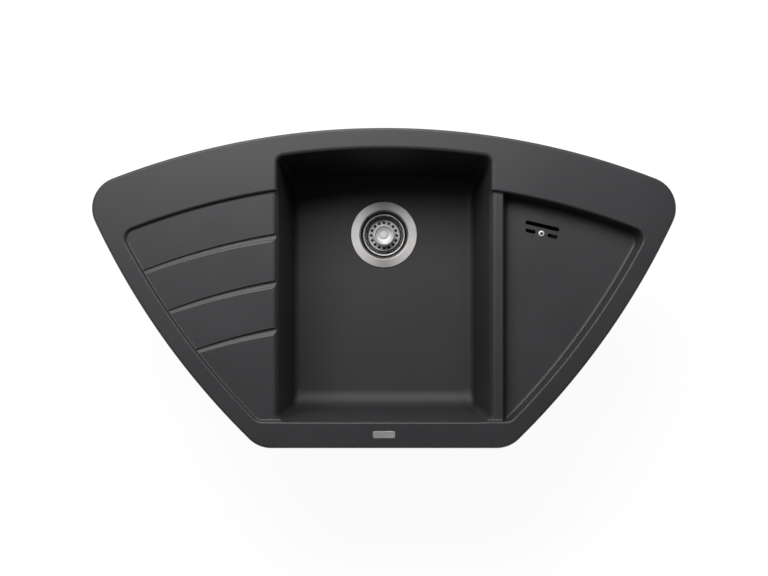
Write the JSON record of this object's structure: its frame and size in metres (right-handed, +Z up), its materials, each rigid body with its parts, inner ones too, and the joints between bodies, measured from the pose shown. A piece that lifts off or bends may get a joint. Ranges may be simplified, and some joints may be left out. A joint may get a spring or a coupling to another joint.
{
  "type": "corner kitchen sink",
  "caption": "Inset corner sink of stone composite with a main bowl, half bowl, grooved drainer, basket strainer waste, overflow and swing-out worktop clamps.",
  "frame": {"origin": "under the rim, on the worktop plane, at the middle of the front ledge, 12 mm in from the front edge", "axes": "+Z up, +Y from the front edge to the curved back, +X to the right, towards the half bowl"},
  "size_m": [0.9298, 0.51, 0.3041],
  "materials": {
    "composite": "satin",
    "brushed_steel": "satin",
    "polished_steel": "gloss",
    "zinc_steel": "satin",
    "brass": "satin",
    "black_plastic": "satin",
    "grey_plastic": "satin",
    "rubber": "matte",
    "foam": "matte"
  },
  "bodies": {
    "root": {"sink_body": "composite", "badge_plate": "brushed_steel", "rim_seal": "foam", "strainer_flange": "brushed_steel", "flange_seal": "rubber", "waste_seal": "rubber", "waste_body": "grey_plastic", "strainer_bolt": "polished_steel", "strainer_bolt_nut": "brass", "overflow_screw": "brushed_steel", "overflow_housing": "black_plastic", "overflow_seal": "rubber", "overflow_hose": "grey_plastic", "hose_clip_upper": "polished_steel", "hose_clip_screw_upper": "zinc_steel", "hose_clip_lower": "polished_steel", "hose_clip_screw_lower": "zinc_steel", "clamp_anchor_front_left": "brass", "clamp_stud_front_left": "zinc_steel", "clamp_anchor_front_right": "brass", "clamp_stud_front_right": "zinc_steel", "clamp_anchor_corner_right": "brass", "clamp_stud_corner_right": "zinc_steel", "clamp_anchor_back_right": "brass", "clamp_stud_back_right": "zinc_steel", "clamp_anchor_back_left": "brass", "clamp_stud_back_left": "zinc_steel", "clamp_anchor_corner_left": "brass", "clamp_stud_corner_left": "zinc_steel"},
    "basket": {"basket_cup": "polished_steel", "basket_knob": "polished_steel", "basket_stem": "polished_steel", "basket_stopper": "rubber", "basket_stem_nut": "zinc_steel"},
    "nut_front_left": {"clamp_nut_front_left": "black_plastic"},
    "clip_front_left": {"clamp_clip_front_left": "zinc_steel"},
    "nut_front_right": {"clamp_nut_front_right": "black_plastic"},
    "clip_front_right": {"clamp_clip_front_right": "zinc_steel"},
    "nut_corner_right": {"clamp_nut_corner_right": "black_plastic"},
    "clip_corner_right": {"clamp_clip_corner_right": "zinc_steel"},
    "nut_back_right": {"clamp_nut_back_right": "black_plastic"},
    "clip_back_right": {"clamp_clip_back_right": "zinc_steel"},
    "nut_back_left": {"clamp_nut_back_left": "black_plastic"},
    "clip_back_left": {"clamp_clip_back_left": "zinc_steel"},
    "nut_corner_left": {"clamp_nut_corner_left": "black_plastic"},
    "clip_corner_left": {"clamp_clip_corner_left": "zinc_steel"}
  },
  "joints": [
    {"name": "basket_lift", "type": "slide", "parent": "root", "child": "basket", "axis": [0, 0, 1], "range_m": [0, 0.26]},
    {"name": "clamp_raise_front_left", "type": "slide", "parent": "root", "child": "nut_front_left", "axis": [0, 0, 1], "range_m": [0, 0.016]},
    {"name": "clamp_swing_front_left", "type": "hinge", "parent": "nut_front_left", "child": "clip_front_left", "pos_m": [-0.12, 0.012, -0.057], "axis": [0, 0, 1], "range_deg": [0, 90]},
    {"name": "clamp_raise_front_right", "type": "slide", "parent": "root", "child": "nut_front_right", "axis": [0, 0, 1], "range_m": [0, 0.016]},
    {"name": "clamp_swing_front_right", "type": "hinge", "parent": "nut_front_right", "child": "clip_front_right", "pos_m": [0.12, 0.012, -0.057], "axis": [0, 0, 1], "range_deg": [0, 90]},
    {"name": "clamp_raise_corner_right", "type": "slide", "parent": "root", "child": "nut_corner_right", "axis": [0, 0, 1], "range_m": [0, 0.016]},
    {"name": "clamp_swing_corner_right", "type": "hinge", "parent": "nut_corner_right", "child": "clip_corner_right", "pos_m": [0.42074, 0.37267, -0.057], "axis": [0, 0, 1], "range_deg": [0, 90]},
    {"name": "clamp_raise_back_right", "type": "slide", "parent": "root", "child": "nut_back_right", "axis": [0, 0, 1], "range_m": [0, 0.016]},
    {"name": "clamp_swing_back_right", "type": "hinge", "parent": "nut_back_right", "child": "clip_back_right", "pos_m": [0.31, 0.42204, -0.057], "axis": [0, 0, 1], "range_deg": [0, 90]},
    {"name": "clamp_raise_back_left", "type": "slide", "parent": "root", "child": "nut_back_left", "axis": [0, 0, 1], "range_m": [0, 0.016]},
    {"name": "clamp_swing_back_left", "type": "hinge", "parent": "nut_back_left", "child": "clip_back_left", "pos_m": [-0.31, 0.42204, -0.057], "axis": [0, 0, 1], "range_deg": [0, 90]},
    {"name": "clamp_raise_corner_left", "type": "slide", "parent": "root", "child": "nut_corner_left", "axis": [0, 0, 1], "range_m": [0, 0.016]},
    {"name": "clamp_swing_corner_left", "type": "hinge", "parent": "nut_corner_left", "child": "clip_corner_left", "pos_m": [-0.42074, 0.37267, -0.057], "axis": [0, 0, 1], "range_deg": [0, 90]}
  ]
}
